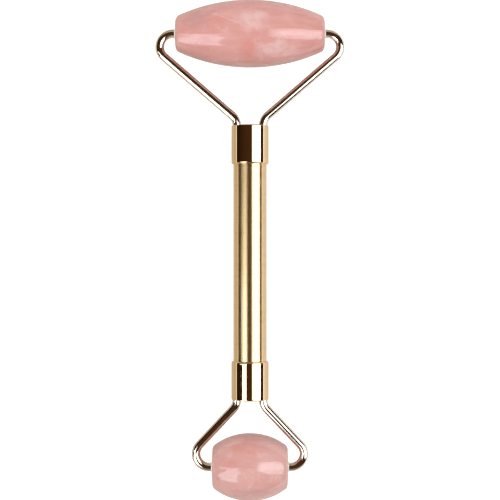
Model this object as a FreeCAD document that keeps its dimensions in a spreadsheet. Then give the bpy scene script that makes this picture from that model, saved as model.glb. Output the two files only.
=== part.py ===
"""A double-ended stone face roller: a tube handle with a wire fork and a free-turning stone at each end.

Units are millimetres. The roller lies flat: +Z is up, the handle runs along Y with the large stone at +Y, and
the stones turn about X. The origin is on the surface it lies on, under the middle of its length.

Two working frames keep the two ends alike, both with their X across the roller:
  mouth frame   origin on the handle's axis at the face of the ferrule, Y pointing out to the stone
  roller frame  origin at the middle of the stone
Every piece is drawn for the right-hand side of the large end, then turned half a turn to where it belongs.
"""

import FreeCAD, Part
import math
import os
import Sketcher

DIMENSIONS = {
    # handle
    "tube_diameter": 10.0,
    "tube_bore": 8.0,
    "tube_edge_break": 0.2,
    # ferrules, and the plugs inside them
    "ferrule_diameter": 11.2,
    "ferrule_length": 11.6,
    "ferrule_end_wall": 1.5,
    "ferrule_face_round": 0.3,
    "ferrule_skirt_round": 0.5,
    "tube_insertion": 6.0,
    # where the ferrule faces and the stones' axes are, from the middle of the roller
    "large_mouth_distance": 37.4,
    "small_mouth_distance": 44.8,
    "roller_axis_distance": 65.0,
    # wire forks, sized on the wire's centreline
    "wire_diameter": 2.6,
    "wire_bend_radius": 4.0,
    "wire_tip_round": 0.3,
    "leg_offset": 3.95,
    "leg_depth": 5.0,
    "large_fork_half_width": 27.1,
    "small_fork_half_width": 16.2,
    # stones
    "stone_diameter": 20.2,
    "large_stone_length": 44.7,
    "large_stone_crown": 52.0,
    "large_stone_corner": 1.9,
    "small_stone_length": 22.6,
    "small_stone_crown": 18.0,
    "small_stone_corner": 2.0,
    # bearing bushes and washers
    "bush_diameter": 4.0,
    "bush_length": 8.0,
    "pin_engagement": 7.5,
    "running_clearance": 0.05,
    "washer_diameter": 3.2,
    "washer_thickness": 0.3,
    "washer_play": 0.05,
}

ENDS = ("large", "small")
SIDES = ("left", "right")
HALF_TURN_ABOUT = {
    ("large", "right"): None,
    ("large", "left"): FreeCAD.Vector(0, 1, 0),
    ("small", "right"): FreeCAD.Vector(1, 0, 0),
    ("small", "left"): FreeCAD.Vector(0, 0, 1),
}

doc = FreeCAD.newDocument("FaceRoller")
sheet = doc.addObject("Spreadsheet::Sheet", "Dimensions")
for row, (alias, value) in enumerate(DIMENSIONS.items(), start=1):
    sheet.set(f"A{row}", alias)
    sheet.set(f"B{row}", str(value))
    sheet.setAlias(f"B{row}", alias)
doc.recompute()

pieces = []


def expression(words):
    """The same formula with each alias read from the sheet, e.g. tube_bore / 2 as Dimensions.tube_bore / 2."""
    tokens = words.split()
    return " ".join(f"Dimensions.{t}" if t in DIMENSIONS else t for t in tokens)


def value_of(words):
    """What a formula comes to now, which places a sketch's points before its constraints hold them."""
    result = sheet.evalExpression(expression(words))
    return float(getattr(result, "Value", result))


def new_body(label):
    body = doc.addObject("PartDesign::Body", label)
    body.Label = label
    pieces.append(body)
    return body


def place(body, end, side, distance):
    """Puts a body's own frame on the handle's axis, at a distance along it, towards the named end and side."""
    axis = HALF_TURN_ABOUT[end, side]
    if axis is not None:
        body.Placement.Rotation = FreeCAD.Rotation(axis, 180)
    along = distance if end == "large" else f"0 - {distance}"
    body.setExpression("Placement.Base.y", expression(along))
    body.setExpression("Placement.Base.z", expression("stone_diameter / 2"))


def new_sketch(body, name, role):
    """An empty sketch on one of the body's own origin planes."""
    sketch = body.newObject("Sketcher::SketchObject", name)
    plane = next(f for f in body.Origin.OriginFeatures if f.Role == role)
    sketch.AttachmentSupport = (plane, [""])
    sketch.MapMode = "FlatFace"
    return sketch


def drive(sketch, index, name, words):
    """Names a sketch's dimension and binds it to a formula of the sheet's cells."""
    sketch.renameConstraint(index, name)
    sketch.setExpression(f"Constraints.{name}", expression(words))


def pin_point(sketch, geometry, position, name, x_words=None, y_words=None):
    """Holds one point of a sketch at x and y, each a formula. "0" holds it on the sketch's own axis."""
    for letter, words, axis in (("X", x_words, -2), ("Y", y_words, -1)):
        if words == "0":
            sketch.addConstraint(Sketcher.Constraint("PointOnObject", geometry, position, axis))
        elif words is not None:
            rule = Sketcher.Constraint(f"Distance{letter}", -1, 1, geometry, position, value_of(words))
            drive(sketch, sketch.addConstraint(rule), f"{name}_{letter.lower()}", words)


def join(sketch, links):
    """Makes pairs of line or arc ends meet. Each link is (geometry, position, geometry, position)."""
    for link in links:
        sketch.addConstraint(Sketcher.Constraint("Coincident", *link))


def draw_outline(sketch, corners):
    """A closed outline of straight lines, with each corner an (x, y) pair of formulas."""
    points = [FreeCAD.Vector(value_of(x), value_of(y), 0) for x, y in corners]
    count = len(corners)
    for i in range(count):
        sketch.addGeometry(Part.LineSegment(points[i], points[(i + 1) % count]), False)
    join(sketch, [(i, 2, (i + 1) % count, 1) for i in range(count)])
    for i, (x, y) in enumerate(corners):
        pin_point(sketch, i, 1, f"corner{i}", x, y)


def draw_circle(sketch, name, x_words, y_words, diameter_words):
    centre = FreeCAD.Vector(value_of(x_words), value_of(y_words), 0)
    circle = Part.Circle(centre, FreeCAD.Vector(0, 0, 1), value_of(diameter_words) / 2)
    geometry = sketch.addGeometry(circle, False)
    size = Sketcher.Constraint("Diameter", geometry, value_of(diameter_words))
    drive(sketch, sketch.addConstraint(size), f"{name}_diameter", diameter_words)
    pin_point(sketch, geometry, 3, name, x_words, y_words)


def revolve(body, name, sketch, axis):
    """A full turn of the sketch about its own V_Axis or H_Axis."""
    turned = body.newObject("PartDesign::Revolution", name)
    turned.Profile = sketch
    turned.ReferenceAxis = (sketch, [axis])
    turned.Angle = 360
    sketch.Visibility = False
    doc.recompute()
    return turned


def turned_piece(label, corners, axis):
    """A turned body from a closed outline in its own XY plane."""
    body = new_body(label)
    outline = new_sketch(body, "Outline", "XY_Plane")
    draw_outline(outline, corners)
    return body, revolve(body, "Turned", outline, axis)


def rims(feature, axis, station, radius):
    """The names of a turned solid's circular edges of one radius at one station along its axis."""
    names = []
    for number, edge in enumerate(feature.Shape.Edges, start=1):
        curve = edge.Curve
        if curve.TypeId != "Part::GeomCircle":
            continue
        here = curve.Center.dot(axis)
        if abs(here - station) < 1e-4 and abs(curve.Radius - radius) < 1e-4:
            names.append(f"Edge{number}")
    return names


def round_rims(body, name, feature, edges, radius_words, kind="Fillet"):
    """Rounds (or, as a Chamfer, bevels) the named edges, and fails if there are none."""
    if not edges:
        raise RuntimeError(f"{body.Label}: no edge to round for {name}")
    eased = body.newObject(f"PartDesign::{kind}", name)
    eased.Base = (feature, edges)
    size = "Radius" if kind == "Fillet" else "Size"
    eased.setExpression(size, expression(radius_words))
    doc.recompute()
    return eased


X_AXIS = FreeCAD.Vector(1, 0, 0)
Y_AXIS = FreeCAD.Vector(0, 1, 0)


# Handle tube: a plain brass tube with its edges broken, running between the two ferrules' plugs.


def make_tube():
    reach = "_mouth_distance - ferrule_length + tube_insertion"
    near, far = f"0 - ( small{reach} )", f"large{reach}"
    corners = [
        ("tube_bore / 2", near),
        ("tube_diameter / 2", near),
        ("tube_diameter / 2", far),
        ("tube_bore / 2", far),
    ]
    body, tube = turned_piece("handle_tube", corners, "V_Axis")
    outer = value_of("tube_diameter / 2")
    edges = [name for end in (near, far) for name in rims(tube, Y_AXIS, value_of(end), outer)]
    round_rims(body, "EdgeBreak", tube, edges, "tube_edge_break", "Chamfer")
    body.setExpression("Placement.Base.z", expression("stone_diameter / 2"))


# Leg holes: one pair of drilled holes per fork, cut from the mouth plane into the ferrule and its plug.


def drill_leg_holes(body):
    """Two blind holes for the fork's legs. Holes that cut nothing would leave the volume as it was."""
    before = body.Tip.Shape.Volume
    both_holes = 2 * math.pi / 4 * value_of("wire_diameter") ** 2 * value_of("leg_depth")
    holes = new_sketch(body, "LegHoles", "XZ_Plane")
    draw_circle(holes, "right_leg", "leg_offset", "0", "wire_diameter")
    draw_circle(holes, "left_leg", "0 - leg_offset", "0", "wire_diameter")
    pocket = body.newObject("PartDesign::Pocket", "Drilled")
    pocket.Profile = holes
    pocket.Type = "Length"
    pocket.Reversed = True
    pocket.setExpression("Length", expression("leg_depth"))
    holes.Visibility = False
    doc.recompute()
    removed = before - pocket.Shape.Volume
    if not 0.05 * both_holes < removed < 1.001 * both_holes:
        raise RuntimeError(f"{body.Label}: the leg holes removed {removed:.2f} mm3")


# Ferrule: a polished cup over the end of the tube, with its closed face towards the stone.


def make_ferrule(end):
    corners = [
        ("0", "0"),
        ("ferrule_diameter / 2", "0"),
        ("ferrule_diameter / 2", "0 - ferrule_length"),
        ("tube_diameter / 2", "0 - ferrule_length"),
        ("tube_diameter / 2", "0 - ferrule_end_wall"),
        ("0", "0 - ferrule_end_wall"),
    ]
    body, cup = turned_piece(f"{end}_end_ferrule", corners, "V_Axis")
    outer = value_of("ferrule_diameter / 2")
    face = rims(cup, Y_AXIS, 0.0, outer)
    eased = round_rims(body, "FaceRound", cup, face, "ferrule_face_round")
    skirt = rims(eased, Y_AXIS, -value_of("ferrule_length"), outer)
    round_rims(body, "SkirtRound", eased, skirt, "ferrule_skirt_round")
    drill_leg_holes(body)
    place(body, end, "right", f"{end}_mouth_distance")


# Plug: holds the fork's legs. Its head fills the ferrule and its shank is pressed into the tube.


def make_plug(end):
    head_back = "0 - ( ferrule_length - tube_insertion )"
    corners = [
        ("0", "0 - ferrule_end_wall"),
        ("tube_diameter / 2", "0 - ferrule_end_wall"),
        ("tube_diameter / 2", head_back),
        ("tube_bore / 2", head_back),
        ("tube_bore / 2", "0 - ferrule_length"),
        ("0", "0 - ferrule_length"),
    ]
    body, _ = turned_piece(f"{end}_end_plug", corners, "V_Axis")
    drill_leg_holes(body)
    place(body, end, "right", f"{end}_mouth_distance")


# Fork arm: one bent wire. A leg in the plug, a bend outwards at the ferrule's face, a straight arm,
# then a bend of more than a quarter turn into the pin that carries the stone.


def arm_angle(end):
    """The straight arm's angle from the handle's axis, in degrees: the crossing tangent of the two bends."""
    bend = value_of("wire_bend_radius")
    across = value_of(f"{end}_fork_half_width - leg_offset - 2 * wire_bend_radius")
    along = value_of(f"roller_axis_distance - {end}_mouth_distance - wire_bend_radius")
    return math.degrees(math.atan2(across, along) + math.asin(2 * bend / math.hypot(across, along)))


def draw_arm_line(sketch, end):
    """The wire's centreline. Its bends are placed by their centres, and tangency settles the rest."""
    bend = value_of("wire_bend_radius")
    leg = value_of("leg_offset")
    pin = value_of(f"roller_axis_distance - {end}_mouth_distance")
    tip_words = f"{end}_stone_length / 2 - pin_engagement"
    low_centre = FreeCAD.Vector(leg + bend, 0, 0)
    high_centre = FreeCAD.Vector(value_of(f"{end}_fork_half_width - wire_bend_radius"), pin - bend, 0)
    slope = math.radians(arm_angle(end))
    normal = FreeCAD.Vector(math.cos(slope), -math.sin(slope), 0)
    up = FreeCAD.Vector(0, 0, 1)
    low_arc = Part.ArcOfCircle(Part.Circle(low_centre, up, bend), math.pi - slope, math.pi)
    high_arc = Part.ArcOfCircle(Part.Circle(high_centre, up, bend), -slope, math.pi / 2)
    leg_start = FreeCAD.Vector(leg, -value_of("leg_depth"), 0)
    arm_start, arm_end = low_centre - normal * bend, high_centre + normal * bend
    pin_start = FreeCAD.Vector(high_centre.x, pin, 0)
    pin_tip = FreeCAD.Vector(value_of(tip_words), pin, 0)
    geometry = [
        Part.LineSegment(leg_start, FreeCAD.Vector(leg, 0, 0)),
        low_arc,
        Part.LineSegment(arm_start, arm_end),
        high_arc,
        Part.LineSegment(pin_start, pin_tip),
    ]
    leg_line, low, arm, high, pin_line = (sketch.addGeometry(g, False) for g in geometry)
    for link in ((leg_line, 2, low, 2), (low, 1, arm, 1), (arm, 2, high, 1), (high, 2, pin_line, 1)):
        sketch.addConstraint(Sketcher.Constraint("Tangent", *link))
    sketch.addConstraint(Sketcher.Constraint("Vertical", leg_line))
    sketch.addConstraint(Sketcher.Constraint("Horizontal", pin_line))
    for name, arc in (("low_bend", low), ("high_bend", high)):
        size = Sketcher.Constraint("Radius", arc, bend)
        drive(sketch, sketch.addConstraint(size), f"{name}_radius", "wire_bend_radius")
    pin_point(sketch, leg_line, 1, "leg_start", "leg_offset", "0 - leg_depth")
    pin_point(sketch, low, 3, "low_centre", None, "0")
    reach = f"roller_axis_distance - {end}_mouth_distance - wire_bend_radius"
    pin_point(sketch, high, 3, "high_centre", f"{end}_fork_half_width - wire_bend_radius", reach)
    pin_point(sketch, pin_line, 2, "pin_tip", tip_words)


def make_arm(end, side):
    body = new_body(f"{end}_fork_{side}_arm")
    section = new_sketch(body, "WireSection", "XZ_Plane")
    section.setExpression("AttachmentOffset.Base.z", expression("leg_depth"))
    draw_circle(section, "wire", "leg_offset", "0", "wire_diameter")
    centreline = new_sketch(body, "Centreline", "XY_Plane")
    draw_arm_line(centreline, end)
    doc.recompute()
    wire = body.newObject("PartDesign::AdditivePipe", "BentWire")
    wire.Profile = section
    wire.Spine = (centreline, [])
    section.Visibility = False
    centreline.Visibility = False
    doc.recompute()
    length = centreline.Shape.Length
    expected = math.pi / 4 * value_of("wire_diameter") ** 2 * length
    if abs(wire.Shape.Volume / expected - 1) > 1e-3:
        raise RuntimeError(f"{body.Label}: {wire.Shape.Volume:.2f} mm3 for {length:.2f} mm of wire")
    tip = rims(wire, X_AXIS, value_of(f"{end}_stone_length / 2 - pin_engagement"), value_of("wire_diameter / 2"))
    round_rims(body, "TipRound", wire, tip, "wire_tip_round")
    place(body, end, side, f"{end}_mouth_distance")


# Stone: a barrel of revolution, crowned by one arc, drilled through for its bushes.


def make_stone(end):
    body = new_body(f"{end}_roller_stone")
    outline = new_sketch(body, "Outline", "XY_Plane")
    half = value_of(f"{end}_stone_length / 2")
    bore = value_of("bush_diameter / 2")
    crown = value_of(f"{end}_stone_crown")
    centre_words = f"stone_diameter / 2 - {end}_stone_crown"
    centre = FreeCAD.Vector(0, value_of(centre_words), 0)
    end_radius = centre.y + math.sqrt(crown**2 - half**2)
    lean = math.asin(half / crown)
    up = FreeCAD.Vector(0, 0, 1)
    arc = Part.ArcOfCircle(Part.Circle(centre, up, crown), math.pi / 2 - lean, math.pi / 2 + lean)
    left, right = FreeCAD.Vector(-half, bore, 0), FreeCAD.Vector(half, bore, 0)
    left_rim, right_rim = FreeCAD.Vector(-half, end_radius, 0), FreeCAD.Vector(half, end_radius, 0)
    outline.addGeometry(Part.LineSegment(left, right), False)
    outline.addGeometry(Part.LineSegment(right, right_rim), False)
    outline.addGeometry(arc, False)
    outline.addGeometry(Part.LineSegment(left_rim, left), False)
    join(outline, [(0, 2, 1, 1), (1, 2, 2, 1), (2, 2, 3, 1), (3, 2, 0, 1)])
    for face in (1, 3):
        outline.addConstraint(Sketcher.Constraint("Vertical", face))
    pin_point(outline, 0, 1, "left_bore", f"0 - {end}_stone_length / 2", "bush_diameter / 2")
    pin_point(outline, 0, 2, "right_bore", f"{end}_stone_length / 2", "bush_diameter / 2")
    pin_point(outline, 2, 3, "crown_centre", "0", centre_words)
    size = Sketcher.Constraint("Radius", 2, crown)
    drive(outline, outline.addConstraint(size), "crown_radius", f"{end}_stone_crown")
    barrel = revolve(body, "Barrel", outline, "H_Axis")
    corners = [name for x in (-half, half) for name in rims(barrel, X_AXIS, x, end_radius)]
    round_rims(body, "CornerRound", barrel, corners, f"{end}_stone_corner")
    place(body, end, "right", "roller_axis_distance")


# Bush and washer: nylon. The bush is fixed in the stone and turns on the pin; the washer sits on the wire
# between the bush and the bend.


def make_ring(label, end, side, inner, outer, start, finish):
    """A turned ring on the stone's axis, between two stations from the middle of the stone."""
    corners = [(start, inner), (finish, inner), (finish, outer), (start, outer)]
    body, _ = turned_piece(label, corners, "H_Axis")
    place(body, end, side, "roller_axis_distance")


def make_bush(end, side):
    face = f"{end}_stone_length / 2"
    bore = "wire_diameter / 2 + running_clearance"
    make_ring(f"{end}_roller_{side}_bush", end, side, bore, "bush_diameter / 2", f"{face} - bush_length", face)


def make_washer(end, side):
    inside = f"{end}_stone_length / 2 + washer_play"
    outside = f"{inside} + washer_thickness"
    make_ring(
        f"{end}_roller_{side}_washer", end, side, "wire_diameter / 2", "washer_diameter / 2", inside, outside
    )


make_tube()
for end in ENDS:
    make_ferrule(end)
    make_plug(end)
    make_stone(end)
    for side in SIDES:
        make_arm(end, side)
        make_bush(end, side)
        make_washer(end, side)
doc.recompute()

for thing in doc.Objects:
    if "Invalid" in thing.State or "Error" in thing.State:
        raise RuntimeError(f"{thing.Label} failed: {thing.State}")
for body in pieces:
    if body.Shape.isNull() or not body.Shape.isValid() or len(body.Shape.Solids) != 1:
        raise RuntimeError(f"{body.Label} is not one valid solid")

os.makedirs("parts", exist_ok=True)
for body in pieces:
    body.Shape.exportStep(f"parts/{body.Label}.step")
    box = body.Shape.BoundBox
    print(
        f"{body.Label:28s} {body.Shape.Volume:9.2f} mm3"
        f"  x {box.XMin:7.2f} {box.XMax:7.2f}  y {box.YMin:7.2f} {box.YMax:7.2f}  z {box.ZMin:6.2f} {box.ZMax:6.2f}"
    )
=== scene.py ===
"""The looks of the double-ended stone face roller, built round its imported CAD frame.

The roller lies flat with +Z up, its handle along Y and the large stone at +Y. Each visible piece is a fine
mesh made here over its CAD node; the bushes and plugs inside keep their CAD meshes. Shapes are in metres, and
the patterns in the materials are laid out in millimetres.
"""

import math

import bpy
from mathutils import Matrix, Vector


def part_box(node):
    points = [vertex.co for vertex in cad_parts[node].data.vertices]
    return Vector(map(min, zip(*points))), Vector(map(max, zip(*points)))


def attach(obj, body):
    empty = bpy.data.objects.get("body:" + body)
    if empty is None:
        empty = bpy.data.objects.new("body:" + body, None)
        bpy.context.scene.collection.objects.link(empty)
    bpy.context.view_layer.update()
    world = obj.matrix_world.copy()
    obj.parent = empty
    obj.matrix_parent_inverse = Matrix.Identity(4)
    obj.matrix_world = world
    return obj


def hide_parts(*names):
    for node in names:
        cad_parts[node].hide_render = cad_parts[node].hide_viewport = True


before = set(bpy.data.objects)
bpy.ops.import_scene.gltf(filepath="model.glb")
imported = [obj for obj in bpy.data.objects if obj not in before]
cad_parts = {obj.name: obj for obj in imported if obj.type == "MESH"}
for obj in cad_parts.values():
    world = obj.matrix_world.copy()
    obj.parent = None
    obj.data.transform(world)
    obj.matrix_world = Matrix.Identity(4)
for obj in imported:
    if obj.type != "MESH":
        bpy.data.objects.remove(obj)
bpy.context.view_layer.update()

MM = 0.001

# The sign of each end along Y, and of each side along X.

ENDS = {"large": 1, "small": -1}
SIDES = {"right": 1, "left": -1}


def middle(node):
    low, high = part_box(node)
    return (low + high) / 2


def span(node):
    low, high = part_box(node)
    return high - low


# Sizes read from the frame.

AXIS_HEIGHT = middle("handle_tube").z
TUBE_RADIUS = span("handle_tube").x / 2
FERRULE_RADIUS = span("large_end_ferrule").x / 2
FERRULE_LENGTH = span("large_end_ferrule").y
WIRE_RADIUS = span("large_fork_right_arm").z / 2
WASHER_RADIUS = span("large_roller_right_washer").y / 2
BUSH_RADIUS = span("large_roller_right_bush").y / 2
STONE_RADIUS = span("large_roller_stone").z / 2

# Sizes that a box doesn't give, as in the CAD.

TUBE_BORE_RADIUS = 4.0 * MM
TUBE_EDGE_BREAK = 0.2 * MM
FERRULE_END_WALL = 1.5 * MM
FERRULE_FACE_ROUND = 0.3 * MM
FERRULE_SKIRT_ROUND = 0.5 * MM
LEG_OFFSET = 3.95 * MM
LEG_DEPTH = 5.0 * MM
WIRE_BEND_RADIUS = 4.0 * MM
WIRE_TIP_ROUND = 0.3 * MM
PIN_SHORT_OF_BUSH = 0.5 * MM
CROWN_RADIUS = {"large": 52.0 * MM, "small": 18.0 * MM}
STONE_CORNER = {"large": 1.9 * MM, "small": 2.0 * MM}

# Sizes that only the looks have: softened edges, and the drill for the legs' holes.

STONE_BORE_BREAK = 0.25 * MM
WASHER_ROUND = 0.08 * MM
LEG_HOLE_GAP = 0.04 * MM
DRILL_OVERSHOOT = 1.0 * MM


# Mesh building. A shoulder point stands this many times as far from a corner as the end of its arc. An edge
# that turns by more than the sharp angle, in degrees, is shaded as a hard edge.

SHOULDER = 1.4
SHARP_ANGLE = 30


def arc(centre, radius, start, finish, steps):
    """Points on an arc between two angles in degrees, both ends included."""
    angles = [math.radians(start + (finish - start) * i / steps) for i in range(steps + 1)]
    return [(centre[0] + radius * math.cos(a), centre[1] + radius * math.sin(a)) for a in angles]


def ease(corners, rounds, steps=6):
    """The closed outline with each corner whose index is in rounds turned into an arc of that radius.

    A shoulder point on the straight beside each end of an arc keeps the smooth shading of the straight true.
    """
    outline = []
    count = len(corners)
    for i, corner in enumerate(corners):
        if i not in rounds:
            outline.append(corner)
            continue
        here = Vector(corner)
        back = (Vector(corners[i - 1]) - here).normalized()
        ahead = (Vector(corners[(i + 1) % count]) - here).normalized()
        half = back.angle(ahead) / 2
        inward = (back + ahead).normalized()
        centre = here + inward * (rounds[i] / math.sin(half))
        reach = rounds[i] / math.tan(half)
        first = here + back * reach - centre
        last = here + ahead * reach - centre
        outline.append(tuple(here + back * reach * SHOULDER))
        for k in range(steps + 1):
            swept = first.angle(last) * k / steps
            spoke = first.copy()
            spoke.rotate(Matrix.Rotation(math.copysign(swept, first.cross(last)), 2))
            outline.append(tuple(centre + spoke))
        outline.append(tuple(here + ahead * reach * SHOULDER))
    return outline


def add_object(name, vertices, faces, centre=(0, 0, 0), sharp_angle=SHARP_ANGLE):
    """A smooth mesh object that sits at the row's origin, its vertices given from a centre."""
    mesh = bpy.data.meshes.new(name)
    mesh.from_pydata([Vector(v) + Vector(centre) for v in vertices], [], faces)
    mesh.validate()
    mesh.polygons.foreach_set("use_smooth", [True] * len(mesh.polygons))
    mesh.set_sharp_from_angle(angle=math.radians(sharp_angle))
    mesh.update()
    piece = bpy.data.objects.new(name, mesh)
    bpy.context.scene.collection.objects.link(piece)
    return piece


def lathe(name, outline, along, centre, turns=144, sharp_angle=SHARP_ANGLE):
    """Turns a closed outline of (station, radius) pairs about the "X" or "Y" axis through centre.

    A point at radius 0 becomes one vertex on the axis, so the faces beside it are triangles.
    """
    vertices, faces, rings = [], [], []
    for station, radius in outline:
        count = turns if radius > 0 else 1
        rings.append((len(vertices), count))
        for k in range(count):
            turn = 2 * math.pi * k / turns
            across, up = radius * math.cos(turn), radius * math.sin(turn)
            vertices.append((station, across, up) if along == "X" else (across, station, up))
    for i, (start, count) in enumerate(rings):
        after, after_count = rings[(i + 1) % len(rings)]
        if count == 1 and after_count == 1:
            continue
        for k in range(turns):
            j = (k + 1) % turns
            corners = [start + k % count, start + j % count, after + j % after_count, after + k % after_count]
            corners = list(dict.fromkeys(corners))
            faces.append(corners[::-1] if along == "X" else corners)
    return add_object(name, vertices, faces, centre, sharp_angle)


def sweep(name, path, radii, centre, sides=48):
    """A round wire with capped ends, along a flat path of (x, y) points and with a radius at each point."""
    vertices, faces = [], []
    count = len(path)
    for i, (x, y) in enumerate(path):
        before, after = Vector(path[max(i - 1, 0)]), Vector(path[min(i + 1, count - 1)])
        heading = (after - before).normalized()
        normal = Vector((heading.y, -heading.x))
        for k in range(sides):
            turn = 2 * math.pi * k / sides
            out, up = radii[i] * math.cos(turn), radii[i] * math.sin(turn)
            vertices.append((x + normal.x * out, y + normal.y * out, up))
    for i in range(count - 1):
        for k in range(sides):
            j = (k + 1) % sides
            low, high = i * sides, (i + 1) * sides
            faces.append([low + k, low + j, high + j, high + k])
    faces.append(list(range(sides))[::-1])
    faces.append([(count - 1) * sides + k for k in range(sides)])
    return add_object(name, vertices, faces, centre)


def cut(piece, cutters):
    """Takes the cutters out of the piece, for good."""
    for cutter in cutters:
        boolean = piece.modifiers.new("cut", "BOOLEAN")
        boolean.operation = "DIFFERENCE"
        boolean.solver = "EXACT"
        boolean.object = cutter
    evaluated = piece.evaluated_get(bpy.context.evaluated_depsgraph_get())
    mesh = bpy.data.meshes.new_from_object(evaluated)
    piece.modifiers.clear()
    piece.data = mesh
    mesh.set_sharp_from_angle(angle=math.radians(SHARP_ANGLE))
    for cutter in cutters:
        bpy.data.objects.remove(cutter)


# Material building. Places and lengths here are in millimetres.

VEIN_THICKNESS = 0.28
VEIN_FADE = 1.5


class Nodes:
    """Short ways to add shader nodes to one material.

    Places are the row's own, in millimetres, where a method is not given others.
    """

    def __init__(self, name):
        self.material = bpy.data.materials.new(name)
        self.material.use_nodes = True
        self.tree = self.material.node_tree
        self.shader = next(n for n in self.tree.nodes if n.type == "BSDF_PRINCIPLED")
        place = self.tree.nodes.new("ShaderNodeTexCoord")
        to_mm = self.add("ShaderNodeVectorMath", operation="SCALE")
        to_mm.inputs["Scale"].default_value = 1 / MM
        self.link(place.outputs["Object"], to_mm.inputs[0])
        self.millimetres = to_mm.outputs[0]

    def add(self, kind, **settings):
        node = self.tree.nodes.new(kind)
        for key, value in settings.items():
            setattr(node, key, value)
        return node

    def link(self, source, target):
        self.tree.links.new(source, target)

    def feed(self, socket, value):
        """Links a node's output to a socket, or sets the socket where value is a number or a colour."""
        if isinstance(value, bpy.types.NodeSocket):
            self.link(value, socket)
        elif isinstance(value, tuple) and len(value) == 3 and socket.type == "RGBA":
            socket.default_value = (*value, 1.0)
        else:
            socket.default_value = value

    def noise(self, where, per_mm, detail=4.0, roughness=0.5, distortion=0.0):
        """Random values about 0.5 that vary smoothly with place, about per_mm times in a millimetre."""
        node = self.add("ShaderNodeTexNoise")
        self.link(where, node.inputs["Vector"])
        node.inputs["Scale"].default_value = per_mm
        node.inputs["Detail"].default_value = detail
        node.inputs["Roughness"].default_value = roughness
        node.inputs["Distortion"].default_value = distortion
        return node.outputs["Fac"]

    def stretched(self, x, y, z, where=None):
        """Places multiplied along each axis, so that a factor under 1 draws a pattern out along it."""
        node = self.add("ShaderNodeVectorMath", operation="MULTIPLY")
        self.link(where or self.millimetres, node.inputs[0])
        node.inputs[1].default_value = (x, y, z)
        return node.outputs[0]

    def shifted(self, x, y, z, where=None):
        """Places moved along each axis."""
        node = self.add("ShaderNodeVectorMath", operation="ADD")
        self.link(where or self.millimetres, node.inputs[0])
        node.inputs[1].default_value = (x, y, z)
        return node.outputs[0]

    def from_middle(self, node):
        """Places in millimetres from the middle of a CAD node."""
        centre = middle(node) / MM
        return self.shifted(-centre.x, -centre.y, -centre.z)

    def warped(self, where, per_mm, reach):
        """The same places, each pushed off by a smooth random step of about reach."""
        push = self.add("ShaderNodeTexNoise")
        self.link(where, push.inputs["Vector"])
        push.inputs["Scale"].default_value = per_mm
        push.inputs["Detail"].default_value = 3.0
        centred = self.add("ShaderNodeVectorMath", operation="SUBTRACT")
        self.link(push.outputs["Color"], centred.inputs[0])
        centred.inputs[1].default_value = (0.5, 0.5, 0.5)
        scaled = self.add("ShaderNodeVectorMath", operation="SCALE")
        self.link(centred.outputs[0], scaled.inputs[0])
        scaled.inputs["Scale"].default_value = reach * 2
        moved = self.add("ShaderNodeVectorMath", operation="ADD")
        self.link(where, moved.inputs[0])
        self.link(scaled.outputs[0], moved.inputs[1])
        return moved.outputs[0]

    def spot(self, where, centre, reach):
        """One at the centre, falling smoothly to nothing at the reach along each axis."""
        offset = self.shifted(*(-c for c in centre), where)
        ratio = self.stretched(*(1 / r for r in reach), offset)
        length = self.add("ShaderNodeVectorMath", operation="LENGTH")
        self.link(ratio, length.inputs[0])
        return self.map(length.outputs["Value"], 0.25, 1.0, 1.0, 0.0)

    def vein(self, where, point, across, start, finish):
        """A thin sheet through a point, square to a direction, shown between two stations along X."""
        offset = self.shifted(*(-c for c in point), where)
        dot = self.add("ShaderNodeVectorMath", operation="DOT_PRODUCT")
        self.link(offset, dot.inputs[0])
        dot.inputs[1].default_value = Vector(across).normalized()
        sheet = self.map(self.maths("ABSOLUTE", dot.outputs["Value"]), 0.0, VEIN_THICKNESS, 1.0, 0.0)
        parts = self.add("ShaderNodeSeparateXYZ")
        self.link(where, parts.inputs[0])
        after = self.map(parts.outputs["X"], start, start + VEIN_FADE)
        before = self.map(parts.outputs["X"], finish - VEIN_FADE, finish, 1.0, 0.0)
        return self.maths("MULTIPLY", sheet, self.maths("MULTIPLY", after, before))

    def map(self, value, low, high, to_low=0.0, to_high=1.0):
        """Carries a value from one range to another with soft ends, and holds it level outside the range."""
        node = self.add("ShaderNodeMapRange", interpolation_type="SMOOTHSTEP")
        self.feed(node.inputs["Value"], value)
        for key, number in (("From Min", low), ("From Max", high), ("To Min", to_low), ("To Max", to_high)):
            node.inputs[key].default_value = number
        return node.outputs["Result"]

    def maths(self, operation, a, b=0.0):
        node = self.add("ShaderNodeMath", operation=operation)
        self.feed(node.inputs[0], a)
        self.feed(node.inputs[1], b)
        return node.outputs[0]

    def mix(self, factor, a, b):
        node = self.add("ShaderNodeMix", data_type="RGBA")
        self.feed(node.inputs["Factor"], factor)
        self.feed(node.inputs["A"], a)
        self.feed(node.inputs["B"], b)
        return node.outputs["Result"]

    def bump(self, height, distance_mm):
        """A normal that tilts as a surface would whose relief is this many millimetres deep."""
        node = self.add("ShaderNodeBump")
        self.feed(node.inputs["Height"], height)
        node.inputs["Distance"].default_value = distance_mm * MM
        node.inputs["Strength"].default_value = 1.0
        return node.outputs["Normal"]

    def set(self, **sockets):
        """Sets the shader's sockets, named with _ for each space, and gives back the material."""
        for name, value in sockets.items():
            self.feed(self.shader.inputs[name.replace("_", " ")], value)
        return self.material


def around_and_along(m):
    """Places on the handle: how far round its axis and how far along it, in millimetres."""
    parts = m.add("ShaderNodeSeparateXYZ")
    m.link(m.from_middle("handle_tube"), parts.inputs[0])
    turn = m.maths("ARCTAN2", parts.outputs["Z"], parts.outputs["X"])
    arc_length = m.maths("MULTIPLY", turn, TUBE_RADIUS / MM)
    joined = m.add("ShaderNodeCombineXYZ")
    m.link(arc_length, joined.inputs["X"])
    m.link(parts.outputs["Y"], joined.inputs["Y"])
    return joined.outputs[0]


# Tones in the rose quartz. The third, a darker grey pink, is painted shade.

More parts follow.
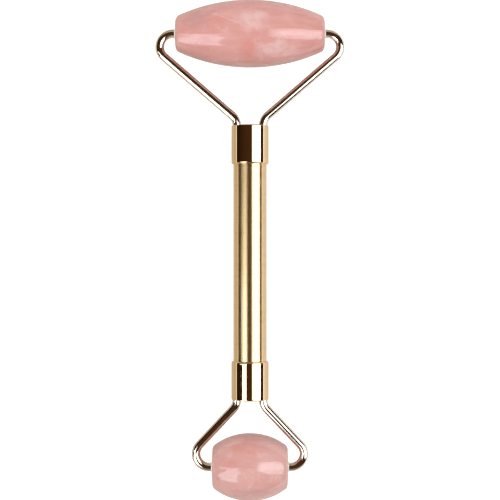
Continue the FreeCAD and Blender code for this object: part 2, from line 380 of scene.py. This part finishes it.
MILK = (0.67, 0.43, 0.41)
BLUSH = (0.585, 0.235, 0.205)
PAINTED_SHADE = (0.47, 0.25, 0.235)
VEIN = (0.73, 0.52, 0.50)


def make_satin_gold():
    """Lacquered brass-gold tube, brushed round its girth: faint turned rings, crowded and unevenly deep."""
    m = Nodes("satin_gold")
    surface = around_and_along(m)
    fine = m.noise(m.stretched(0.10, 1.3, 1.0, surface), 1.0, detail=1.0)
    coarse = m.noise(m.stretched(0.05, 0.6, 1.0, surface), 1.0, detail=2.0)
    patches = m.noise(m.stretched(1.0, 0.3, 1.0), 0.10, detail=2.0)
    rings = m.maths("ADD", m.maths("MULTIPLY", fine, 0.6), m.maths("MULTIPLY", coarse, 0.4))
    colour = m.mix(m.map(patches, 0.35, 0.65), (0.76, 0.505, 0.232), (0.78, 0.53, 0.258))
    colour = m.mix(m.map(rings, 0.48, 0.62, 0.0, 0.2), colour, (0.58, 0.35, 0.13))
    roughness = m.map(patches, 0.35, 0.65, 0.295, 0.31)
    tangent = m.add("ShaderNodeTangent", direction_type="RADIAL", axis="Y")
    m.link(tangent.outputs[0], m.shader.inputs["Tangent"])
    return m.set(
        Base_Color=colour,
        Metallic=1.0,
        Roughness=roughness,
        Anisotropic=0.8,
        Anisotropic_Rotation=0.25,
        Coat_Weight=0.85,
        Coat_IOR=1.6,
        Coat_Roughness=0.12,
        Normal=m.bump(rings, 0.012),
    )


def make_polished_gold(name, cool_tone, warm_tone):
    """Mirror-polished gold plate: almost clean, with faint wipe marks and hairline scratches."""
    m = Nodes(name)
    wipes = m.noise(m.stretched(0.5, 1.6, 0.5), 0.35, detail=5.0, distortion=0.8)
    hairs = m.noise(m.stretched(1.0, 6.0, 1.0), 0.8, detail=2.0)
    tone = m.noise(m.millimetres, 0.2, detail=2.0)
    colour = m.mix(m.map(tone, 0.35, 0.65), cool_tone, warm_tone)
    roughness = m.map(wipes, 0.45, 0.75, 0.035, 0.09)
    return m.set(Base_Color=colour, Metallic=1.0, Roughness=roughness, Normal=m.bump(hairs, 0.0006))


def make_rose_quartz(end, seed, body_tones, clouds, veins):
    """Polished rose quartz: salmon pink in soft clouds, milky wisps, and a few thin healed cracks.

    Clouds are (centre, reach, share, tone) and veins are (point, across, start, finish, share), measured
    from the stone's middle. A vein runs along the stone from start to finish, square to its direction across.
    A cloud in the darker grey pink tone is painted shade.
    The seed is the place in the endless noise that this stone is cut from.
    """
    m = Nodes(f"rose_quartz_{end}")
    local = m.from_middle(f"{end}_roller_stone")
    rock = m.shifted(*seed, local)
    body = m.noise(m.stretched(0.6, 1.0, 1.0, rock), 0.13, detail=6.0, roughness=0.55, distortion=0.6)
    ragged = m.noise(m.shifted(31.0, 7.0, 3.0, rock), 0.30, detail=8.0, roughness=0.65, distortion=0.7)
    streaks = m.noise(m.stretched(0.10, 0.9, 0.9, rock), 0.8, detail=5.0, roughness=0.6)
    colour = m.mix(m.map(body, 0.36, 0.64), *body_tones)
    colour = m.mix(m.map(streaks, 0.42, 0.72, 0.0, 0.22), colour, MILK)
    colour = m.mix(m.map(ragged, 0.54, 0.70, 0.0, 0.45), colour, MILK)
    specks = m.noise(m.stretched(0.6, 1.0, 1.0, rock), 1.5, detail=4.0, roughness=0.6)
    colour = m.mix(m.map(specks, 0.58, 0.74, 0.0, 0.3), colour, MILK)
    soft_warp = m.warped(local, 0.30, 2.6)
    broken = m.map(ragged, 0.34, 0.56, 0.35, 1.0)
    for centre, reach, share, tone in clouds:
        inside = m.maths("MULTIPLY", m.spot(soft_warp, centre, reach), broken)
        colour = m.mix(m.maths("MULTIPLY", inside, share), colour, tone)
    fine_warp = m.warped(local, 0.35, 0.9)
    fading = m.map(m.noise(rock, 0.6, detail=3.0), 0.35, 0.6, 0.15, 1.0)
    for point, across, start, finish, share in veins:
        line = m.maths("MULTIPLY", m.vein(fine_warp, point, across, start, finish), fading)
        colour = m.mix(m.maths("MULTIPLY", line, share), colour, VEIN)
    roughness = m.map(m.noise(rock, 0.5, detail=4.0), 0.35, 0.7, 0.07, 0.12)
    ripple = m.noise(m.stretched(0.35, 1.0, 1.0, rock), 0.25, detail=2.0)
    return m.set(
        Base_Color=colour,
        Roughness=roughness,
        IOR=1.54,
        Specular_IOR_Level=0.47,
        Subsurface_Weight=0.4,
        Subsurface_Radius=(1.0, 0.6, 0.5),
        Subsurface_Scale=2.0 * MM,
        Normal=m.bump(ripple, 0.04),
    )


def make_white_nylon():
    """Turned nylon: milky, waxy, with faint lathe rings."""
    m = Nodes("white_nylon")
    cloud = m.noise(m.millimetres, 0.8, detail=3.0)
    rings = m.noise(m.stretched(12.0, 1.0, 1.0), 1.0, detail=2.0)
    colour = m.mix(m.map(cloud, 0.3, 0.7), (0.88, 0.86, 0.82), (0.93, 0.92, 0.90))
    return m.set(
        Base_Color=colour,
        Roughness=m.map(rings, 0.3, 0.7, 0.34, 0.48),
        Subsurface_Weight=0.3,
        Subsurface_Radius=(1.0, 0.9, 0.8),
        Subsurface_Scale=0.5 * MM,
        Normal=m.bump(rings, 0.004),
    )


def make_plain_brass():
    """Turned brass of the plugs inside the handle, left as machined."""
    m = Nodes("plain_brass")
    rings = m.noise(m.stretched(0.2, 10.0, 0.2), 1.0, detail=2.0)
    tarnish = m.noise(m.millimetres, 0.4, detail=5.0)
    colour = m.mix(m.map(tarnish, 0.4, 0.7), (0.66, 0.50, 0.26), (0.52, 0.36, 0.17))
    roughness = m.map(rings, 0.3, 0.7, 0.28, 0.42)
    return m.set(Base_Color=colour, Metallic=1.0, Roughness=roughness, Normal=m.bump(rings, 0.01))


materials = {
    "satin_gold": make_satin_gold(),
    "polished_gold": make_polished_gold("polished_gold", (0.80, 0.57, 0.34), (0.78, 0.54, 0.31)),
    "champagne_gold": make_polished_gold("champagne_gold", (0.84, 0.73, 0.61), (0.84, 0.71, 0.57)),
    "white_nylon": make_white_nylon(),
    "plain_brass": make_plain_brass(),
    "rose_quartz_large": make_rose_quartz(
        "large",
        seed=(12.0, 3.0, 5.0),
        body_tones=((0.575, 0.275, 0.245), (0.61, 0.32, 0.29)),
        clouds=[
            ((0.5, 3.2, 9.5), (6.0, 5.0, 5.0), 0.85, MILK),
            ((8.6, -5.6, 8.5), (9.5, 4.0, 5.0), 1.0, MILK),
            ((-0.8, -5.6, 8.0), (3.6, 4.6, 5.0), 0.75, BLUSH),
            # Painted shade: a darker grey pink over the left end.
            ((-16.0, 4.0, 6.5), (7.0, 5.0, 5.0), 0.6, PAINTED_SHADE),
            ((-9.0, 2.4, 9.0), (3.6, 2.6, 4.0), 0.5, BLUSH),
            ((0.0, 8.4, 5.0), (9.0, 2.8, 5.0), 0.6, BLUSH),
        ],
        veins=[
            ((-5.4, 2.5, 9.0), (0.40, 0.916, 0.0), -11.5, 0.8, 0.42),
            ((3.0, -3.4, 9.0), (0.78, 0.62, 0.0), 0.5, 6.5, 0.15),
        ],
    ),
    "rose_quartz_small": make_rose_quartz(
        "small",
        seed=(-40.0, 17.0, 2.0),
        body_tones=((0.56, 0.30, 0.27), (0.595, 0.34, 0.31)),
        clouds=[
            ((6.0, 2.0, 9.0), (6.0, 6.0, 5.0), 0.3, MILK),
            ((-1.0, 6.5, 7.0), (7.0, 2.8, 4.0), 0.6, BLUSH),
            ((-5.5, 1.8, 9.0), (4.0, 2.2, 4.0), 0.4, BLUSH),
            # Painted shade: a darker grey pink along the side towards -Y.
            ((0.5, -6.8, 7.0), (9.0, 2.6, 4.0), 0.6, PAINTED_SHADE),
        ],
        veins=[((-5.2, 7.6, 5.0), (-0.26, 0.966, 0.0), -8.0, -2.0, 0.5)],
    ),
}


def fit(piece, node, body, material):
    """Dresses a piece in one of the materials, and puts it on a body in place of its CAD node."""
    piece.data.materials.clear()
    piece.data.materials.append(materials[material])
    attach(piece, body)
    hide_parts(node)


# Handle tube: open at both ends, with its outer edges broken.


def build_tube():
    low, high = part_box("handle_tube")
    centre = Vector((0, (low.y + high.y) / 2, AXIS_HEIGHT))
    half = (high.y - low.y) / 2
    corners = [(-half, TUBE_BORE_RADIUS), (half, TUBE_BORE_RADIUS), (half, TUBE_RADIUS), (-half, TUBE_RADIUS)]
    outline = ease(corners, {2: TUBE_EDGE_BREAK, 3: TUBE_EDGE_BREAK})
    tube = lathe("tube_skin", outline, "Y", centre, turns=192)
    fit(tube, "handle_tube", "handle", "satin_gold")


# Ferrules: cups with rounded rims, their closed faces pierced by the fork's two legs.


def build_ferrule(end, sign):
    node = f"{end}_end_ferrule"
    centre = middle(node)
    face, skirt = sign * FERRULE_LENGTH / 2, -sign * FERRULE_LENGTH / 2
    inner_face = face - sign * FERRULE_END_WALL
    corners = [
        (inner_face, 0.0),
        (inner_face, TUBE_RADIUS),
        (skirt, TUBE_RADIUS),
        (skirt, FERRULE_RADIUS),
        (face, FERRULE_RADIUS),
        (face, 0.0),
    ]
    outline = ease(corners, {3: FERRULE_SKIRT_ROUND, 4: FERRULE_FACE_ROUND}, steps=8)
    if sign < 0:
        outline = outline[::-1]
    cup = lathe(f"{end}_ferrule_shell", outline, "Y", centre, turns=192)
    hole = WIRE_RADIUS + LEG_HOLE_GAP
    bottom, top = inner_face - sign * DRILL_OVERSHOOT, face + sign * DRILL_OVERSHOOT
    cutters = []
    for side, aside in SIDES.items():
        plug = [(bottom, 0.0), (bottom, hole), (top, hole), (top, 0.0)]
        place = centre + Vector((aside * LEG_OFFSET, 0, 0))
        cutters.append(lathe(f"drill_{end}_{side}", plug if sign > 0 else plug[::-1], "Y", place, turns=64))
    bpy.context.view_layer.update()
    cut(cup, cutters)
    fit(cup, node, "handle", "polished_gold")


# Fork arms: the wire's centreline is a leg, a bend, a straight arm that is tangent to both bends, a second
# bend and a pin. All of it is drawn for a right arm at the large end, then mirrored with the signs.


def arm_path(mouth, pin_height, half_width, tip):
    """The centreline as (x, y) for a right arm at the large end, and the wire's radius at each point.

    The leg comes out of the ferrule's face at the mouth, the pin lies pin_height past it, the second bend
    reaches out to half_width from the handle's axis, and the pin ends inside the stone at tip.
    """
    bend = WIRE_BEND_RADIUS
    low = (LEG_OFFSET + bend, 0.0)
    high = (half_width - bend, pin_height - bend)
    across, along = high[0] - low[0], high[1] - low[1]
    slope = math.degrees(math.atan2(across, along) + math.asin(2 * bend / math.hypot(across, along)))
    leg = [(LEG_OFFSET, -LEG_DEPTH), (LEG_OFFSET, -LEG_DEPTH / 2)]
    low_bend = arc(low, bend, 180, 180 - slope, steps=24)
    high_bend = arc(high, bend, -slope, 90, steps=56)
    foot, head = Vector(low_bend[-1]), Vector(high_bend[0])
    straight = [tuple(foot.lerp(head, share)) for share in (0.04, 0.5, 0.96)]
    tip_arc = arc((0.0, 0.0), WIRE_TIP_ROUND, 0, 90, steps=5)
    pin = [(tip + WIRE_TIP_ROUND - out, pin_height) for _, out in tip_arc]
    path = leg + low_bend + straight + high_bend + pin
    tip_radii = [WIRE_RADIUS - WIRE_TIP_ROUND + left for left, _ in tip_arc]
    radii = [WIRE_RADIUS] * (len(path) - len(pin)) + tip_radii
    return [(x, y + mouth) for x, y in path], radii


def build_arm(end, sign, side, aside):
    node = f"{end}_fork_{side}_arm"
    ferrule_low, ferrule_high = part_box(f"{end}_end_ferrule")
    mouth = ferrule_high.y if sign > 0 else -ferrule_low.y
    low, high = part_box(node)
    outer = high.x if aside > 0 else -low.x
    pin_height = sign * middle(f"{end}_roller_stone").y - mouth
    bush_low, bush_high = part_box(f"{end}_roller_{side}_bush")
    tip = (bush_low.x if aside > 0 else -bush_high.x) + PIN_SHORT_OF_BUSH
    path, radii = arm_path(mouth, pin_height, outer - WIRE_RADIUS, tip)
    path = [(aside * x, sign * y) for x, y in path]
    arm = sweep(f"{end}_wire_{side}", path, radii, Vector((0, 0, AXIS_HEIGHT)))
    if aside * sign < 0:
        arm.data.flip_normals()
    fit(arm, node, "handle", "champagne_gold")


# Stones: barrels with one crowning arc, rounded at the ends and drilled for the bushes.


def build_stone(end):
    node = f"{end}_roller_stone"
    half = span(node).x / 2
    crown, corner = CROWN_RADIUS[end], STONE_CORNER[end]
    crown_centre = STONE_RADIUS - crown
    corner_x = half - corner
    corner_y = crown_centre + math.sqrt((crown - corner) ** 2 - corner_x**2)
    lean = math.degrees(math.atan2(corner_x, corner_y - crown_centre))
    right_corner = arc((corner_x, corner_y), corner, 0, 90 - lean, steps=14)
    barrel = arc((0, crown_centre), crown, 90 - lean, 90 + lean, steps=96)
    left_corner = arc((-corner_x, corner_y), corner, 90 + lean, 180, steps=14)
    bore = [
        (-half, BUSH_RADIUS + STONE_BORE_BREAK),
        (-half + STONE_BORE_BREAK, BUSH_RADIUS),
        (half - STONE_BORE_BREAK, BUSH_RADIUS),
        (half, BUSH_RADIUS + STONE_BORE_BREAK),
    ]
    outline = right_corner + barrel[1:-1] + left_corner + bore
    stone = lathe(f"{end}_stone", outline, "X", middle(node), turns=256, sharp_angle=35)
    fit(stone, node, f"{end}_roller", f"rose_quartz_{end}")


# Washers: thin nylon rings with softened rims.


def build_washer(end, side):
    node = f"{end}_roller_{side}_washer"
    half = span(node).x / 2
    corners = [(half, WIRE_RADIUS), (half, WASHER_RADIUS), (-half, WASHER_RADIUS), (-half, WIRE_RADIUS)]
    outline = ease(corners, {1: WASHER_ROUND, 2: WASHER_ROUND})
    washer = lathe(f"{end}_{side}_washer_ring", outline, "X", middle(node))
    fit(washer, node, "handle", "white_nylon")


build_tube()
for end, sign in ENDS.items():
    build_ferrule(end, sign)
    build_stone(end)
    for side, aside in SIDES.items():
        build_arm(end, sign, side, aside)
        build_washer(end, side)

# The bushes and plugs keep their CAD meshes and take their materials.

for ending, material in (("_bush", "white_nylon"), ("_plug", "plain_brass")):
    for name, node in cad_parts.items():
        if name.endswith(ending):
            node.data.materials.clear()
            node.data.materials.append(materials[material])


# Stage: a white board, two panels that show only in reflections, soft light, and the camera overhead.

FLOOR_RADIUS = 3.0
FLOOR_SIDES = 64
SOFTBOX_DISTANCE = 0.60
FILL_POWER = 6.5
FILL_SIZE = 1.0
FILL_HEIGHT = 0.8
VIEW_HEIGHT = 0.45
VIEW_WIDTH = 0.150
VIEW_SHIFT = 0.1 * MM
SENSOR_WIDTH = 36.0
CLIP_END = 20.0

# The board, with its places in millimetres from the middle: its tone changes from one side of the roller to
# the other, darker on the left as painted shade, it glows far out to both sides, and the camera sees it
# lifted to white.

BOARD_SHADE_ENDS = (-60.0, 60.0)
BOARD_SHADED_LEFT = (0.46, 0.44, 0.36)
BOARD_LIT_RIGHT = (0.73, 0.72, 0.72)
BOARD_GLOW_ENDS = (60.0, 220.0)
BOARD_GLOW = 0.9
BOARD_LIFT = 0.75

# The panels: the share of their glow that is left at the dim edge, and where the stretch that the handle
# mirrors fades into each end, in millimetres from the middle.

DIM_SHARE = 0.2
HANDLE_STRETCH_ENDS = (90.0, 110.0)

# Colours of the world: on matt surfaces, to the camera, and of the room in reflections. The room is dark low
# down, a little lighter overhead, and paler on its walls fore and aft.

AMBIENT = (0.68, 0.68, 0.68)
BACKDROP = (1.0, 1.0, 1.0)
ROOM_LOW = (0.008, 0.003, 0.001)
ROOM_HIGH = (0.062, 0.030, 0.013)
WALL_AT_SMALL_STONE = (0.30, 0.26, 0.22)
WALL_AT_LARGE_STONE = (0.55, 0.50, 0.44)


def build_floor():
    """White board: matt, glowing far out on both sides, and evened out to the camera as white."""
    turns = [math.tau * i / FLOOR_SIDES for i in range(FLOOR_SIDES)]
    rim = [(FLOOR_RADIUS * math.cos(a), FLOOR_RADIUS * math.sin(a), 0) for a in turns]
    floor = add_object("floor", rim, [list(range(FLOOR_SIDES))])
    m = Nodes("pale_floor")
    parts = m.add("ShaderNodeSeparateXYZ")
    m.link(m.millimetres, parts.inputs[0])
    sideways = m.maths("ABSOLUTE", parts.outputs["X"])
    seen = m.add("ShaderNodeLightPath").outputs["Is Camera Ray"]
    unseen = m.maths("SUBTRACT", 1.0, seen)
    glow = m.maths("MULTIPLY", unseen, m.map(sideways, *BOARD_GLOW_ENDS, 0.0, BOARD_GLOW))
    lift = m.maths("MULTIPLY", seen, BOARD_LIFT)
    # Painted shade: the board's colour is darker to the left of the roller than to the right.
    m.set(
        Base_Color=m.mix(m.map(parts.outputs["X"], *BOARD_SHADE_ENDS), BOARD_SHADED_LEFT, BOARD_LIT_RIGHT),
        Roughness=0.9,
        Specular_IOR_Level=0.0,
        Emission_Color=(1.0, 1.0, 1.0),
        Emission_Strength=m.maths("ADD", lift, glow),
    )
    floor.data.materials.append(m.material)


def add_softbox(name, tilt, corners, colour, radiance, dim_edge, bright_edge, end_share=1.0):
    """A glowing panel that faces the roller from overhead, leaning by an angle in degrees towards +X.

    Its corners are (across, along) pairs on its plane, with along parallel to the handle. It is dim at
    dim_edge across it, and has its full radiance from bright_edge on. Its ends, past the stretch that the
    handle mirrors, keep end_share of that. It shows only in reflections.
    """
    angle = math.radians(tilt)
    facing = Vector((math.sin(angle), 0, math.cos(angle)))
    across = Vector((math.cos(angle), 0, -math.sin(angle)))
    middle_point = Vector((0, 0, AXIS_HEIGHT)) + facing * SOFTBOX_DISTANCE
    vertices = [middle_point + across * a + Vector((0, b, 0)) for a, b in corners]
    panel = add_object(name, vertices, [list(range(len(corners)))])
    m = Nodes(name)
    local = m.shifted(*(-middle_point / MM))
    place = m.add("ShaderNodeVectorMath", operation="DOT_PRODUCT")
    m.link(local, place.inputs[0])
    place.inputs[1].default_value = across
    parts = m.add("ShaderNodeSeparateXYZ")
    m.link(local, parts.inputs[0])
    strength = m.map(place.outputs["Value"], dim_edge / MM, bright_edge / MM, DIM_SHARE * radiance, radiance)
    ends = m.map(m.maths("ABSOLUTE", parts.outputs["Y"]), *HANDLE_STRETCH_ENDS, 1.0, end_share)
    m.set(
        Base_Color=(0.0, 0.0, 0.0),
        Specular_IOR_Level=0.0,
        Emission_Color=colour,
        Emission_Strength=m.maths("MULTIPLY", strength, ends),
    )
    panel.data.materials.append(m.material)
    panel.visible_camera = False
    panel.visible_shadow = False
    panel.visible_diffuse = False


def build_world():
    """Even light for matt surfaces, white to the camera, and in reflections a dark room with paler walls."""
    world = bpy.data.worlds.new("studio")
    world.use_nodes = True
    tree = world.node_tree
    path = tree.nodes.new("ShaderNodeLightPath")
    direction = tree.nodes.new("ShaderNodeTexCoord")
    parts = tree.nodes.new("ShaderNodeSeparateXYZ")
    tree.links.new(direction.outputs["Generated"], parts.inputs[0])

    def mix(factor, a, b):
        node = tree.nodes.new("ShaderNodeMix")
        node.data_type = "RGBA"
        tree.links.new(factor, node.inputs["Factor"])
        for socket, value in ((node.inputs["A"], a), (node.inputs["B"], b)):
            if isinstance(value, tuple):
                socket.default_value = (*value, 1)
            else:
                tree.links.new(value, socket)
        return node.outputs["Result"]

    def ramp(value, low, high):
        node = tree.nodes.new("ShaderNodeMapRange")
        node.interpolation_type = "SMOOTHSTEP"
        tree.links.new(value, node.inputs["Value"])
        node.inputs["From Min"].default_value = low
        node.inputs["From Max"].default_value = high
        return node.outputs["Result"]

    def maths(operation, a, b=None):
        node = tree.nodes.new("ShaderNodeMath")
        node.operation = operation
        tree.links.new(a, node.inputs[0])
        if b is not None:
            tree.links.new(b, node.inputs[1])
        return node.outputs[0]

    lengthwise = ramp(maths("ABSOLUTE", parts.outputs["Y"]), 0.6, 0.8)
    near_wall = maths("MULTIPLY", lengthwise, ramp(parts.outputs["Z"], 0.1, 0.3))
    walls = mix(ramp(parts.outputs["Y"], -0.2, 0.2), WALL_AT_SMALL_STONE, WALL_AT_LARGE_STONE)
    room = mix(near_wall, mix(parts.outputs["Z"], ROOM_LOW, ROOM_HIGH), walls)
    lit = mix(path.outputs["Is Glossy Ray"], AMBIENT, room)
    shown = mix(path.outputs["Is Camera Ray"], lit, BACKDROP)
    tree.links.new(shown, tree.nodes["Background"].inputs["Color"])
    bpy.context.scene.world = world


def add_fill():
    """A broad soft lamp overhead that lights the matt surfaces and shows in no reflection."""
    lamp = bpy.data.lights.new("fill", "AREA")
    lamp.shape = "RECTANGLE"
    lamp.size, lamp.size_y = FILL_SIZE, FILL_SIZE
    lamp.energy = FILL_POWER
    holder = bpy.data.objects.new("fill", lamp)
    holder.location = (0.0, 0.0, FILL_HEIGHT)
    holder.visible_camera = False
    holder.visible_glossy = False
    bpy.context.scene.collection.objects.link(holder)


def build_camera():
    """Looks straight down, and takes in the view width at the height of the handle's axis."""
    data = bpy.data.cameras.new("camera")
    data.sensor_width = SENSOR_WIDTH
    data.lens = SENSOR_WIDTH * (VIEW_HEIGHT - AXIS_HEIGHT) / VIEW_WIDTH
    data.clip_end = CLIP_END
    camera = bpy.data.objects.new("camera", data)
    camera.location = (0, VIEW_SHIFT, VIEW_HEIGHT)
    bpy.context.scene.collection.objects.link(camera)
    bpy.context.scene.camera = camera


build_floor()
add_softbox(
    "softbox_right",
    tilt=39.5,
    corners=[
        (-0.31, 0.10),
        (-0.21, 0.19),
        (0.33, 0.17),
        (0.33, -0.30),
        (0.0, -0.26),
        (-0.20, -0.17),
        (-0.31, -0.135),
    ],
    colour=(0.90, 1.0, 1.06),
    radiance=5.0,
    dim_edge=-0.34,
    bright_edge=-0.17,
    end_share=0.7,
)
add_softbox(
    "softbox_left",
    tilt=-34.0,
    corners=[
        (-0.34, -0.03),
        (0.18, -0.02),
        (0.12, -0.065),
        (0.12, -0.125),
        (0.20, -0.14),
        (0.13, -0.25),
        (0.06, -0.42),
        (0.09, -0.65),
        (-0.42, -0.65),
        (-0.40, -0.33),
        (-0.14, -0.14),
        (-0.14, -0.077),
        (-0.34, -0.073),
    ],
    colour=(0.86, 0.98, 1.1),
    radiance=3.9,
    dim_edge=0.24,
    bright_edge=0.10,
)
add_fill()
build_world()
build_camera()
bpy.context.scene.view_settings.view_transform = "Standard"
